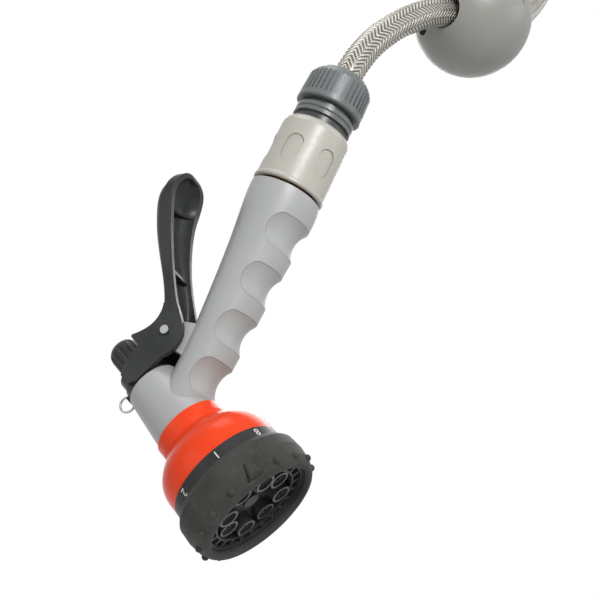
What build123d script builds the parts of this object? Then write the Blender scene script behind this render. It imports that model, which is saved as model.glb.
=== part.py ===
from build123d import *
import math
import os

# A rear-lever multi-pattern spray gun on its quick connector, with the braided hose that
# carries it, the clamped stopper ball on the hose and the plug on the hose's other end.
# Millimetres. +Z is up. The origin is on the axis of the supply plug, at the middle of
# the plain end of its nose. The gun's plane of symmetry is parallel to the XZ plane.

# ---------------------------------------------------------------- where the gun hangs
GUN = (-132.0, -120.0, -361.0)  # crossing of the barrel axis and the handle axis
HANDLE_LEAN = 19.5              # handle axis, degrees from vertical towards +X
BARREL_DIP = 42.0               # barrel axis, degrees below +X
RUN = 0.06                      # radial clearance of a running fit
SEAT = 0.1                      # gap at a static joint face

# ---------------------------------------------------------------- handle, along its axis
HANDLE_STATIONS = [             # distance, half depth, half width, shift to the front
    (0.0, 10.6, 12.3, 2.4),
    (14.0, 10.7, 12.3, 2.4),
    (30.0, 11.0, 12.4, 2.5),
    (50.0, 12.2, 12.9, 2.1),
    (75.0, 13.9, 14.2, 1.3),
    (98.0, 16.3, 16.1, 0.5),
    (105.6, 16.2, 16.2, 0.0),
]
HANDLE_END = HANDLE_STATIONS[-1][0]
HANDLE_BORE_R = 5.5
GROOVE_STATIONS = (17.5, 39.5, 62.5, 85.5)  # middles of the four finger grooves
GROOVE_DEPTH = 2.6
GROOVE_CURVE = 12.0             # radius of a groove's section
GROOVE_SWEEP = 46.0             # each side of the front, before a groove's rounded end, in degrees
INLET_THREAD_R = 10.5
INLET_THREAD_DEPTH = 16.0

# ---------------------------------------------------------------- barrel, along its axis
REAR = -17.0                    # rear face
COLLAR_START = 9.6              # where the orange bell begins
BARREL_REAR_R = 11.9
BARREL_FRONT_R = 14.5
CHAMBER_R = 9.05
CHAMBER_FRONT = 20.0
NOSE_R = 13.2                   # barrel inside the bell
OUTLET_R = 4.2
FLANGE_R = 21.8
FLANGE_BACK = 25.5
FLANGE_FRONT = 29.5
PORT_RADIUS = 13.5              # distance of the water port from the barrel axis
PORT_R = 3.0
CHANNEL_DEPTH = 3.2
CHANNEL_W = 7.0

# ---------------------------------------------------------------- valve
STEM_R = 2.5
STEM_BACK = -36.0
SPRING_SEAT = 11.5              # rear face of the stem's flange
STEM_FLANGE_T = 2.0
STEM_FLANGE_R = 7.6
STEM_NOSE_R = 2.0
PLUG_T = 3.0
PLUG_R = 6.8
SEAT_RING_BACK = 17.0
SEAT_LIP = 0.3
CLIP_T = 0.6
GLAND_FLANGE_T = 3.6
GLAND_FLANGE_R = 10.8
GLAND_THREAD_L = 8.0
FLAT_HALF = 8.6                 # half width over the flats between the lever's arms
PACKING_R = 4.6
ORING_R = 0.95                  # section radius of the small O-rings
COLLAR_GAP = 0.8                # draw collar to gland
COLLAR_T = 6.0
COLLAR_R = 10.0
SPRING_R = 6.7                  # return spring, mean radius
SPRING_WIRE = 0.6
EYE_DOWN = 10.5                 # eye under the gland that the hanging ring runs through
EYE_R = 1.05
RING_WIRE = 0.5
RING_MEAN = 3.3
RING_NOTCH_W = 7.0              # notch in the barrel's rim where the ring swings
RING_NOTCH_D = 2.5
RING_NOTCH_L = 3.4

# ---------------------------------------------------------------- flow knob
KNOB_FRONT = -28.6
KNOB_TIP = -42.4
KNOB_R = 7.0
KNOB_ROUND = 4.8
KNOB_RIDGES = 14

# ---------------------------------------------------------------- lever
PIVOT_UP = 28.3                 # pivot, along the handle axis
PIVOT_BACK = 15.6               # pivot, behind the handle axis
LEVER_OPEN = 24.5               # lever from the handle, degrees
PIN_R = 1.5
PIN_HEAD_R = 2.0
ARM_GAP = 0.45                  # lever arm to boss
ARM_T = 2.6
BOSS_R = 4.6
TRUNNION_R = 1.5
TRUNNION_BACK = -24.4           # trunnion, along the barrel axis
SLOT_GAP = 0.35
SLOT_TRAVEL = 2.6
SLOT_SKIN = 0.9                 # wall left over the blind slot for the trunnion
RIB_HALF = 9.6                  # cross rib inside the lever's channel

# ---------------------------------------------------------------- head
BELL_PROFILE = [(15.3, 9.6), (15.3, 14.2), (14.9, 16.2), (17.2, 18.3), (21.2, 22.0),
                (23.8, 25.5), (25.0, 29.5), (25.2, 33.0), (25.1, 36.0)]
BELL_FRONT = 36.0
BAND_R = 25.2
BAND_T = 1.6
BAND_L = 4.8
PLATE_T = 3.5
JOURNAL_R = 4.5
JOURNAL_L = 6.6
PLATE_SCREW_RADIUS = 17.0
PLATE_SCREW_R = 1.3
PLATE_SCREW_HEAD_R = 2.3
DETENT_ANGLE = 90.0             # detent, round the barrel from the water port
SEAL_MEAN = 4.6                 # face seal round the water port
SEAL_R = 0.85
DIAL_BACK_R = 22.2
DIAL_BACK_T = 2.8
DIAL_GAP = 0.4
PATTERNS = 8
PATTERN_R = 2.8
DETENT_RADIUS = 18.4
DETENT_BALL_R = 1.6
GRIP_BACK = 41.3
GRIP_FRONT = 58.2
GRIP_IN_R = 23.4
GRIP_R = 28.4
RIM_R = 23.0                    # opening of the grip's front lip
NUBS = 16
NUB_R = 1.5
POINTER_ANGLE = 67.5            # arrow pointer, from the top of the dial to the near side
POINTER_HALF = 3.0
POINTER_L = 6.6
POINTER_FRONT = 1.7             # pointer's base, behind the ring's front
POINTER_UP = 1.2
FLOOR = 49.5                    # floor of the recessed face
FACE_WALL_TOP = 55.2
SLOT_RING_R = 18.0
INSERT_R = 4.3
INSERT_TOP = 53.6
SCREW_R = 1.75
SCREW_HEAD_R = 3.6

# ---------------------------------------------------------------- plug of the coupling
PLUG_BORE_R = 5.0
PLUG_NOSE_R = 7.4
PLUG_HEAD_R = 8.8
PLUG_NECK_R = 7.0
PLUG_FLANGE_R = 12.6
PLUG_TIP = 4.0                  # plain end of the nose
PLUG_GROOVE = 2.6
PLUG_SHANK = 2.2
PLUG_HEAD = 3.5
PLUG_NECK = 3.5
PLUG_COLLAR = 4.2
PLUG_FLANGE = 2.0
PLUG_CHAMFER = 0.6
PLUG_ORING_R = 0.9

# ---------------------------------------------------------------- hose connector
BODY_START = 108.2
BODY_R = 13.2
NECK_R = 12.6
BODY_BORE_R = 9.0
NOSE_BORE_R = 7.8
BODY_TOP = 139.0
HOSE_END = 150.0                # cut end of the hose, along the handle axis
STOP_RING = (142.5, 146.9, 13.8)
SLEEVE_START = 107.2
SLEEVE_END = 139.1
SLEEVE_R = 16.1
SLEEVE_LIP_R = 16.5
SLEEVE_LIP = 2.2
SLEEVE_RECESS = (120.0, 136.0, 14.9)
SLEEVE_DIMPLES = 6
DIMPLE_ANGLE = 2.0
DIMPLE_MIDDLE = 122.0
DIMPLE_DEPTH = 0.8
STOP_CLIP = (131.5, 133.0)      # snap ring that holds the sleeve's spring
CLAW_R = 7.35

# ---------------------------------------------------------------- hose, nut and collet
HOSE_R = 7.0
HOSE_BORE_R = 4.75
BARB_R = 4.7
BARB_L = 12.0
THREAD_R = 12.0
THREAD_L = 10.0
NUT_R = 15.4
NUT_BACK = -0.7                 # nut's lower rim, from the hose's cut end
NUT_SHOULDER = 12.6
NUT_TOP = 18.4
NUT_TOP_R = 9.4
NUT_RIBS = 40
COLLET_BACK = 3.2
COLLET_L = 12.6
COLLET_R = 10.7
HOSE_ROUTE = [                  # corners between the two sockets
    (-61.0, -112.9, -172.1),
    (-42.3, -92.7, -145.7),
    (-17.0, -33.8, -117.6),
    (-4.8, -9.0, -82.6),
]
GUN_RUN = 26.5                  # first run of the hose, out of the connector
SUPPLY_RUN = 30.0               # last run of the hose, into the supply plug
SUPPLY_HOSE_END = -24.0         # cut end of the hose under the supply plug

# ---------------------------------------------------------------- stopper ball
BALL_R = 30.0
BALL_LEG = 1                    # the ball sits on the run after this corner
BALL_ALONG = 34.0
BALL_MOUTH_R = 9.6
BALL_BORE_R = 7.6
LINER_HALF = 12.0
LINER_R = 10.2
BALL_SCREW_RADIUS = 15.5
BALL_SCREW_R = 1.6
BALL_SCREW_HEAD_R = 3.3
BALL_SCREW_SIDE = (0.851, -0.465, 0.254)
BALL_SCREW_SINK = 15.0
BALL_NUT_R = 3.4
BALL_NUT_T = 2.6
RECESS_TURN = 13.0              # shallow recess on the near half
RECESS_TILT = -19.0

# ================================================================= frames
lean = math.radians(HANDLE_LEAN)
dip = math.radians(BARREL_DIP)
BARREL = Plane(origin=GUN, x_dir=(0, 1, 0), z_dir=(math.cos(dip), 0, -math.sin(dip)))
HANDLE = Plane(origin=GUN, x_dir=(0, 1, 0), z_dir=(math.sin(lean), 0, math.cos(lean)))
SIDE = Plane(origin=GUN, x_dir=BARREL.z_dir, z_dir=(0, -1, 0))
PIVOT = HANDLE.from_local_coords((0, PIVOT_BACK, PIVOT_UP))
lever_lean = math.radians(HANDLE_LEAN - LEVER_OPEN)
LEVER = Plane(origin=PIVOT, x_dir=(math.cos(lever_lean), 0, -math.sin(lever_lean)), z_dir=(0, -1, 0))
SUPPLY = Plane(origin=(0, 0, 0), x_dir=(1, 0, 0), z_dir=(0, 0, -1))

pivot_in_barrel = BARREL.to_local_coords(PIVOT)
PIVOT_Z = pivot_in_barrel.Z
PIVOT_Y = pivot_in_barrel.Y
ARM_IN = FLAT_HALF + ARM_GAP
ARM_OUT = ARM_IN + ARM_T


def put(plane, shape):
    """Move a shape from a plane's own coordinates into the world."""
    return plane.location * shape


def rod(radius, low, high):
    """A cylinder about the local Z axis from low to high."""
    return Pos(0, 0, low) * Cylinder(radius, high - low, align=(Align.CENTER, Align.CENTER, Align.MIN))


def ring(outer, inner, low, high):
    """A plain ring about the local Z axis."""
    return rod(outer, low, high) - rod(inner, low - 1, high + 1)


def turned(points):
    """Revolve a closed outline of (radius, height) points about the local Z axis."""
    outline = Plane.XZ * make_face(Polyline(*points, close=True))
    return revolve(outline, Axis.Z)


def oring(mean, section, height):
    return Pos(0, 0, height) * Torus(mean, section)


def around(count, shape, start=0.0):
    """Copies of a shape evenly round the local Z axis."""
    step = 360.0 / count
    return [Rot(0, 0, start + step * index) * shape for index in range(count)]


def coil(mean, wire, low, high, turns):
    """A compression spring between two heights."""
    length = high - low - 2 * wire
    path = Helix(pitch=length / turns, height=length, radius=mean)
    start = path @ 0
    section = Plane(origin=start, z_dir=path % 0) * Circle(wire)
    return Pos(0, 0, low + wire) * sweep(section, path=path, is_frenet=True)


def write(name, shape):
    export_step(shape, "parts/" + name + ".step")


def group(shapes):
    return Compound(children=list(shapes))


def handle_front(station):
    """Front edge of the handle's section at a station, read between two stations."""
    for low, high in zip(HANDLE_STATIONS, HANDLE_STATIONS[1:]):
        if low[0] <= station <= high[0]:
            share = (station - low[0]) / (high[0] - low[0])
            return (low[1] + low[3]) * (1 - share) + (high[1] + high[3]) * share


# ================================================================= gun body
def handle_solid():
    sections = []
    for station, half_depth, half_width, shift in HANDLE_STATIONS:
        sections.append(Pos(0, -shift, station) * Ellipse(half_width, half_depth))
    grip = loft(sections)
    for station in GROOVE_STATIONS:
        reach = handle_front(station) - GROOVE_DEPTH + GROOVE_CURVE
        section = Plane(origin=(0, 0, station), x_dir=(0, -1, 0), z_dir=(1, 0, 0)) * Pos(reach, 0) * Circle(GROOVE_CURVE)
        start = Rot(0, 0, -GROOVE_SWEEP) * section
        grip -= revolve(start, Axis((0, 0, station), (0, 0, 1)), 2 * GROOVE_SWEEP)
        for end in (-GROOVE_SWEEP, GROOVE_SWEEP):
            grip -= Rot(0, 0, end) * Pos(0, -reach, station) * Sphere(GROOVE_CURVE)
    return grip


def pivot_boss():
    """Web behind the handle that the lever turns on, between the lever's arms."""
    root = (-PIVOT_BACK + 10.5)
    outline = make_face(Polyline((root, PIVOT_UP - 6.5), (root, PIVOT_UP + 8.2),
                                 (-PIVOT_BACK + 1.6, PIVOT_UP + 6.3), (-PIVOT_BACK, PIVOT_UP + BOSS_R),
                                 (-PIVOT_BACK - BOSS_R * 0.7, PIVOT_UP), (-PIVOT_BACK, PIVOT_UP - BOSS_R),
                                 close=True))
    outline += Pos(-PIVOT_BACK, PIVOT_UP) * Circle(BOSS_R)
    side = Plane(origin=(0, 0, 0), x_dir=(0, -1, 0), z_dir=(-1, 0, 0))
    return extrude(side * outline, amount=FLAT_HALF, both=True)


def gun_body():
    grip = handle_solid() + pivot_boss()
    grip -= rod(HANDLE_BORE_R, 0, HANDLE_END)
    grip -= rod(INLET_THREAD_R, HANDLE_END - INLET_THREAD_DEPTH, HANDLE_END + 1)
    grip -= Pos(0, PIVOT_BACK, PIVOT_UP) * Rot(0, 90, 0) * Cylinder(PIN_R + RUN, 4 * FLAT_HALF)
    barrel = turned([(0, REAR), (BARREL_REAR_R - 0.8, REAR), (BARREL_REAR_R, REAR + 0.8),
                     (BARREL_FRONT_R, COLLAR_START), (NOSE_R, COLLAR_START), (NOSE_R, FLANGE_BACK),
                     (FLANGE_R, FLANGE_BACK), (FLANGE_R, FLANGE_FRONT), (0, FLANGE_FRONT)])
    solid = put(HANDLE, grip) + put(BARREL, barrel)
    solid -= put(HANDLE, rod(HANDLE_BORE_R, 0, 40))
    solid -= put(BARREL, rod(CHAMBER_R, REAR - 1, CHAMBER_FRONT))
    solid -= put(BARREL, rod(OUTLET_R, CHAMBER_FRONT - 1, FLANGE_FRONT + 1))
    channel = SlotCenterToCenter(PORT_RADIUS, CHANNEL_W, rotation=90)
    channel = Pos(0, PORT_RADIUS / 2, FLANGE_FRONT - CHANNEL_DEPTH) * extrude(channel, amount=10)
    solid -= put(BARREL, channel)
    for hole in around(3, Pos(0, -PLATE_SCREW_RADIUS, FLANGE_BACK - 1) * rod(PLATE_SCREW_R + RUN, 0, 12)):
        solid -= put(BARREL, hole)
    notch = Pos(0, -BARREL_REAR_R, REAR) * Box(RING_NOTCH_W, 2 * RING_NOTCH_D, 2 * RING_NOTCH_L)
    solid -= put(BARREL, notch)
    return solid


# ================================================================= valve, in barrel coordinates
def gland_nut():
    low = REAR - GLAND_FLANGE_T
    body = rod(GLAND_FLANGE_R, low, REAR) & Box(2 * FLAT_HALF, 4 * GLAND_FLANGE_R, 400)
    body += rod(CHAMBER_R - RUN, REAR, REAR + GLAND_THREAD_L)
    body -= rod(STEM_R + RUN, low - 1, REAR + GLAND_THREAD_L + 1)
    body -= rod(PACKING_R, REAR + GLAND_THREAD_L - 4.0, REAR + GLAND_THREAD_L + 1)
    eye = Pos(0, -EYE_DOWN + 1.5, (low + REAR) / 2) * Box(2 * EYE_R + 1.8, 2 * EYE_R + 3.6, GLAND_FLANGE_T)
    return body + eye - Pos(0, -EYE_DOWN, 0) * rod(EYE_R, low - 1, REAR + 1)


def stem_oring():
    return oring(STEM_R + ORING_R + 0.05, ORING_R, REAR + GLAND_THREAD_L - 2.9)


def packing_washer():
    top = REAR + GLAND_THREAD_L
    return ring(PACKING_R - 0.05, STEM_R + RUN, top - 1.6, top)


def return_spring():
    return coil(SPRING_R, SPRING_WIRE, REAR + GLAND_THREAD_L + SEAT, SPRING_SEAT - SEAT, 6.5)


def valve_stem():
    flange_front = SPRING_SEAT + STEM_FLANGE_T
    stem = rod(STEM_R, STEM_BACK, SPRING_SEAT) + rod(STEM_FLANGE_R, SPRING_SEAT, flange_front)
    stem += rod(STEM_NOSE_R, flange_front, flange_front + PLUG_T + CLIP_T + 0.8)
    stem -= Pos(0, 0, TRUNNION_BACK) * Rot(0, 90, 0) * Cylinder(TRUNNION_R + 0.03, 40)
    return stem


def valve_plug():
    low = SPRING_SEAT + STEM_FLANGE_T + 0.02
    return ring(PLUG_R, STEM_NOSE_R + 0.03, low, low + PLUG_T)


def plug_clip():
    low = SPRING_SEAT + STEM_FLANGE_T + PLUG_T + 0.08
    return ring(OUTLET_R - 0.9, STEM_NOSE_R + 0.03, low, low + CLIP_T)


def valve_seat():
    seat = ring(CHAMBER_R - 0.03, OUTLET_R, SEAT_RING_BACK, CHAMBER_FRONT)
    return seat + ring(OUTLET_R + 1.2, OUTLET_R, SEAT_RING_BACK - SEAT_LIP, SEAT_RING_BACK + 0.5)


def draw_collar():
    high = REAR - GLAND_FLANGE_T - COLLAR_GAP
    low = high - COLLAR_T
    collar = turned([(0, low), (COLLAR_R - 1.2, low), (COLLAR_R, low + 1.2), (COLLAR_R, high), (0, high)])
    collar &= Box(2 * FLAT_HALF, 4 * COLLAR_R, 400)
    collar -= rod(STEM_R + 0.03, low - 1, high + 1)
    return collar - Pos(0, 0, TRUNNION_BACK) * Rot(0, 90, 0) * Cylinder(TRUNNION_R + 0.03, 60)


def trunnion_pin():
    return Pos(0, 0, TRUNNION_BACK) * Rot(0, 90, 0) * Cylinder(TRUNNION_R, 2 * (ARM_OUT - SLOT_SKIN - 0.2))


def flow_knob():
    """Domed knob on the stem's end, fluted along its side."""
    knob = rod(KNOB_R, KNOB_TIP, KNOB_FRONT)
    knob = fillet(knob.edges().sort_by(Axis.Z)[0], KNOB_ROUND)
    for flute in around(KNOB_RIDGES, Pos(KNOB_R + 0.35, 0, 0) * rod(0.9, KNOB_TIP - 1, KNOB_FRONT - 1.2)):
        knob -= flute
    return knob - rod(STEM_R + RUN, STEM_BACK - 1.2, KNOB_FRONT + 1)


def hanging_ring():
    low = REAR - GLAND_FLANGE_T
    middle = (low + REAR) / 2
    return Pos(0, 0.3 - EYE_DOWN - RING_MEAN, middle) * Rot(0, 90, 0) * Torus(RING_MEAN, RING_WIRE)


# ================================================================= lever
LEVER_STATIONS = [              # along the lever, half width, back, rim, squareness
    (6.0, ARM_OUT, -5.0, 6.0, 12.0),
    (14.0, ARM_OUT, -2.7, 3.5, 9.0),
    (22.0, 11.2, -4.3, 1.7, 6.0),
    (32.0, 11.1, -7.0, -0.1, 4.5),
    (44.0, 11.7, -10.2, -1.4, 3.4),
    (52.0, 12.6, -11.6, -1.8, 3.0),
    (60.0, 13.9, -12.2, -1.7, 2.7),
    (65.0, 15.1, -11.6, -1.3, 2.5),
    (68.5, 15.2, -9.8, -0.5, 2.4),
    (71.5, 14.2, -7.5, 0.6, 2.3),
    (74.0, 12.4, -5.6, 1.7, 2.3),
    (76.0, 9.6, -3.7, 2.5, 2.2),
    (77.3, 6.2, -1.8, 2.8, 2.2),
    (77.9, 3.4, -0.4, 2.8, 2.2),
]
CHANNEL_STATIONS = [            # deep channel of the lever
    (3.0, ARM_IN, -2.8, 9.0, 12.0),
    (14.0, ARM_IN, -0.6, 9.0, 9.0),
    (22.0, 9.1, -2.1, 9.0, 6.0),
    (32.0, 9.0, -4.8, 9.0, 4.5),
    (44.0, 9.6, -8.0, 9.0, 3.4),
    (52.0, 10.5, -9.4, 9.0, 3.0),
    (63.5, 12.3, -9.9, 9.0, 2.6),
]
BOWL_STATIONS = [               # shallower bowl of the spoon, beyond a step
    (63.0, 12.5, -7.0, 9.0, 2.6),
    (67.0, 13.2, -7.2, 9.0, 2.4),
    (70.5, 12.5, -5.8, 9.0, 2.3),
    (73.0, 10.9, -4.0, 9.0, 2.3),
    (75.0, 8.2, -1.9, 9.0, 2.2),
    (76.2, 5.0, -0.4, 9.0, 2.2),
]


def lever_loft(stations):
    """Solid through cross-sections of the lever, each a straight rim and a rounded back."""
    sections = []
    for along, half, back, rim, square in stations:
        depth = rim - back
        curve = []
        for step in range(13):
            turn = math.pi * step / 12
            across = half * math.copysign(abs(math.cos(turn)) ** (2 / square), math.cos(turn))
            curve.append((across, rim - depth * math.sin(turn) ** (2 / square)))
        curve[0] = (half, rim)
        curve[-1] = (-half, rim)
        outline = Spline(*curve, tangents=[(0, -1), (0, 1)]) + Line(curve[-1], curve[0])
        place = Plane(origin=LEVER.from_local_coords((0, along, 0)), x_dir=(0, 1, 0), z_dir=-LEVER.y_dir)
        sections.append(place * make_face(outline))
    return loft(sections)


def lever_arms():
    """Side outline of the arms, with the catch that joins them behind the knob."""
    back = Spline((-36.0, 27.4), (-33.4, 23.4), (-32.4, 17.8), (-33.5, 12.7), (-35.4, 8.4))
    tail = Polyline((-35.4, 8.4), (-34.6, 7.6), (-29.8, 7.7), (-27.2, -2.0), (-24.6, -6.0), (-20.2, -6.0),
                    (REAR - 0.6, -3.0), (REAR - 0.6, 12.0))
    front = Spline((REAR - 0.6, 12.0), (-16.7, 19.9), (-18.8, 24.3), (-24.2, 28.3), (-31.1, 31.3))
    return make_face(back + tail + front + Line((-31.1, 31.3), (-36.0, 27.4)))


def lever():
    body = lever_loft(LEVER_STATIONS) + extrude(SIDE * lever_arms(), amount=ARM_OUT, both=True)
    throat = make_face(Polyline((REAR + 8, -12), (-28.6, -12), (-31.0, 8.2), (-31.0, 11.0), (-30.1, 14.2),
                                (-30.0, 18.4), (-31.0, 22.6), (-33.8, 26.8), (-28.0, 36.0), (REAR + 8, 36.0),
                                close=True))
    body -= extrude(SIDE * throat, amount=ARM_IN, both=True)
    body -= lever_loft(CHANNEL_STATIONS)
    body -= lever_loft(BOWL_STATIONS)
    rib = make_face(Polyline((-4.0, 29.0), (-1.0, 29.0), (-1.3, 30.6), (-4.3, 30.6), close=True))
    body += extrude(LEVER * rib, amount=RIB_HALF, both=True)
    body -= Pos(PIVOT) * Rot(90, 0, 0) * Cylinder(PIN_R + RUN, 60)
    slot_r = TRUNNION_R + SLOT_GAP
    slot = SlotOverall(2 * slot_r + SLOT_TRAVEL, 2 * slot_r, rotation=90)
    return body - extrude(SIDE * (Pos(TRUNNION_BACK, -0.4) * slot), amount=ARM_OUT - SLOT_SKIN, both=True)


def pivot_pin():
    pin = rod(PIN_R, -ARM_OUT - 2.2, ARM_OUT + 0.1)
    pin += rod(PIN_HEAD_R, ARM_OUT + 0.1, ARM_OUT + 0.9)
    head = Pos(0, 0, ARM_OUT + 0.9) * Sphere(PIN_HEAD_R)
    cap = head & rod(PIN_HEAD_R + 1, ARM_OUT + 0.9, ARM_OUT + 1.5)
    return Pos(0, PIVOT_Y, PIVOT_Z) * Rot(0, -90, 0) * (pin + cap)


def pin_retainer():
    washer = ring(PIN_HEAD_R + 1.2, PIN_R + 0.02, -ARM_OUT - 0.9, -ARM_OUT - 0.15)
    return Pos(0, PIVOT_Y, PIVOT_Z) * Rot(0, -90, 0) * washer


# ================================================================= head, in barrel coordinates
def bell_cover():
    outer = Spline(*BELL_PROFILE[2:])
    collar = Polyline(*BELL_PROFILE[:3])
    spigot = BAND_R - BAND_T - 0.05
    inner = Polyline(BELL_PROFILE[-1], (spigot, BELL_FRONT), (spigot, BELL_FRONT + BAND_L),
                     (spigot - 0.9, BELL_FRONT + BAND_L), (spigot - 0.9, BELL_FRONT - 4.0),
                     (FLANGE_R + 0.15, FLANGE_FRONT + 1.5), (FLANGE_R + 0.15, FLANGE_BACK - 0.2),
                     (NOSE_R + 4.4, FLANGE_BACK - 4.2), (NOSE_R + 0.1, FLANGE_BACK - 8.4),
                     (NOSE_R + 0.1, COLLAR_START), BELL_PROFILE[0])
    return revolve(Plane.XZ * make_face(outer + collar + inner), Axis.Z)


def label_band():
    return ring(BAND_R, BAND_R - BAND_T, BELL_FRONT + SEAT, BELL_FRONT + BAND_L)


def port_plate():
    low = FLANGE_FRONT + 0.02
    high = FLANGE_FRONT + PLATE_T
    plate = rod(FLANGE_R, low, high) + rod(JOURNAL_R, high, high + JOURNAL_L)
    plate -= rod(SCREW_R - 0.15, low + 2.0, high + JOURNAL_L + 1)
    plate -= Pos(0, PORT_RADIUS, 0) * rod(PORT_R, low - 1, high + 1)
    plate -= Pos(0, PORT_RADIUS, 0) * ring(SEAL_MEAN + 0.9, SEAL_MEAN - 0.9, high - 1.5, high + 1)
    plate -= Rot(0, 0, DETENT_ANGLE) * Pos(0, DETENT_RADIUS, 0) * rod(DETENT_BALL_R + 0.05, low + 0.4, high + 1)
    for hole in around(3, Pos(0, -PLATE_SCREW_RADIUS, 0) * rod(PLATE_SCREW_R + RUN, low - 1, high + 1)):
        plate -= hole
    for hole in around(3, Pos(0, -PLATE_SCREW_RADIUS, 0) * rod(PLATE_SCREW_HEAD_R + 0.1, high - 1.7, high + 1)):
        plate -= hole
    return plate


def plate_screws():
    high = FLANGE_FRONT + PLATE_T
    screw = rod(PLATE_SCREW_R, FLANGE_BACK + 0.6, high - 1.6) + rod(PLATE_SCREW_HEAD_R, high - 1.6, high - 0.2)
    screw -= Pos(0, 0, high - 0.2) * Box(3.4, 0.6, 1.4)
    return group(around(3, Pos(0, -PLATE_SCREW_RADIUS, 0) * screw))


def port_seal():
    return Pos(0, PORT_RADIUS, 0) * oring(SEAL_MEAN, SEAL_R, FLANGE_FRONT + PLATE_T - 1.48 + SEAL_R)


def detent_ball():
    top = FLANGE_FRONT + PLATE_T + DIAL_GAP + 0.1
    return Rot(0, 0, DETENT_ANGLE) * Pos(0, DETENT_RADIUS, top - DETENT_BALL_R) * Sphere(DETENT_BALL_R)


def detent_spring():
    low = FLANGE_FRONT + 0.02 + 0.4
    high = FLANGE_FRONT + PLATE_T + DIAL_GAP + 0.1 - 2 * DETENT_BALL_R
    wire = 0.14
    pad = ring(DETENT_BALL_R - 0.35, DETENT_BALL_R - 0.35 - 2 * wire, low, high - 0.02)
    return Rot(0, 0, DETENT_ANGLE) * Pos(0, DETENT_RADIUS, 0) * pad


def dial_back():
    low = FLANGE_FRONT + PLATE_T + DIAL_GAP
    high = low + DIAL_BACK_T
    plate = rod(DIAL_BACK_R, low, high) - rod(JOURNAL_R + RUN, low - 1, high + 1)
    for hole in around(PATTERNS, Pos(0, PORT_RADIUS, 0) * rod(PATTERN_R, low - 1, high + 1)):
        plate -= hole
    plate -= ring(DETENT_RADIUS + 0.9, DETENT_RADIUS - 0.9, low - 1, low + 0.35)
    for dent in around(PATTERNS, Pos(0, DETENT_RADIUS, low) * Sphere(1.15), start=DETENT_ANGLE):
        plate -= dent
    return plate


def nozzle_face():
    low = FLANGE_FRONT + PLATE_T + DIAL_GAP + DIAL_BACK_T + 0.02
    drum = turned([(0, low), (DIAL_BACK_R, low), (DIAL_BACK_R, GRIP_BACK + 0.4), (GRIP_IN_R - 0.05, GRIP_BACK + 0.4),
                   (GRIP_IN_R - 0.05, FACE_WALL_TOP), (GRIP_IN_R - 1.7, FACE_WALL_TOP), (GRIP_IN_R - 1.7, FLOOR),
                   (0, FLOOR)])
    wall_in = GRIP_IN_R - 1.7
    drum += ring(SLOT_RING_R + 0.9, SLOT_RING_R, FLOOR - 0.1, FACE_WALL_TOP - 1.0)
    rib_w = wall_in - SLOT_RING_R
    rib = Pos(SLOT_RING_R + rib_w / 2 + 0.3, 0, (FLOOR + FACE_WALL_TOP - 1.0) / 2)
    for copy in around(3 * PATTERNS, rib * Box(rib_w + 0.4, 1.5, FACE_WALL_TOP - 1.0 - FLOOR + 0.2)):
        drum += copy
    for cup in around(PATTERNS, Pos(0, PORT_RADIUS, 0) * rod(INSERT_R, FLOOR - 6.0, FLOOR + 5)):
        drum -= cup
    for hole in around(PATTERNS, Pos(0, PORT_RADIUS, 0) * rod(PATTERN_R, low - 1, FLOOR)):
        drum -= hole
    head_room = FLANGE_FRONT + PLATE_T + JOURNAL_L + 0.1
    drum -= rod(JOURNAL_R + RUN, low - 1, head_room + 1)
    return drum - rod(6.2, head_room, FLOOR + 1)


def screw_washer():
    low = FLANGE_FRONT + PLATE_T + JOURNAL_L + 0.12
    return ring(5.9, SCREW_R + 0.1, low, low + 0.8)


def centre_screw():
    low = FLANGE_FRONT + PLATE_T + JOURNAL_L + 0.94
    screw = rod(SCREW_R - 0.2, low - 8.0, low) + rod(SCREW_HEAD_R, low, low + 2.4)
    arm = Box(4.4, 0.9, 2.4) + Box(0.9, 4.4, 2.4)
    return screw - Pos(0, 0, low + 2.4) * arm


def face_plug():
    """Cover disc over the screw, in the middle of the face."""
    cap = rod(6.1, FLOOR - 2.6, FLOOR + 0.4) + rod(3.4, FLOOR + 0.4, FLOOR + 2.2)
    return cap - rod(4.4, FLOOR - 3.6, FLOOR - 1.4)


INSERT_HOLES = {                # spray pattern, then its openings: x, y, radius
    "jet_insert": [(0, 0, 1.5)],
    "shower_insert": [(0, 0, 0.5)] + [(1.5 * math.cos(k * math.pi / 3), 1.5 * math.sin(k * math.pi / 3), 0.45)
                                      for k in range(6)],
    "cone_insert": [(0, 0, 2.2)],
    "mist_insert": [(0, 0, 0.6)],
    "flat_insert": [(-1.2, 0, 0.55), (0, 0, 0.55), (1.2, 0, 0.55)],
    "centre_insert": [(0, 0, 1.0)],
    "soaker_insert": [(1.5 * math.cos(k * math.pi / 2), 1.5 * math.sin(k * math.pi / 2), 0.8) for k in range(4)],
    "full_insert": [(0, 0, 1.8)],
}


def spray_insert(index, holes):
    top = INSERT_TOP + (0.9 if index % 2 else 0.0)
    low = FLOOR - 5.9
    cup = rod(INSERT_R - 0.06, low, top) - rod(INSERT_R - 1.1, low - 1, FLOOR - 1.5)
    cup -= rod(INSERT_R - 1.0, top - 1.3, top + 1)
    for x, y, radius in holes:
        cup -= Pos(x, y, 0) * rod(radius, low - 1, top + 1)
    return Rot(0, 0, 45.0 * index) * Pos(0, PORT_RADIUS, 0) * cup


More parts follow.
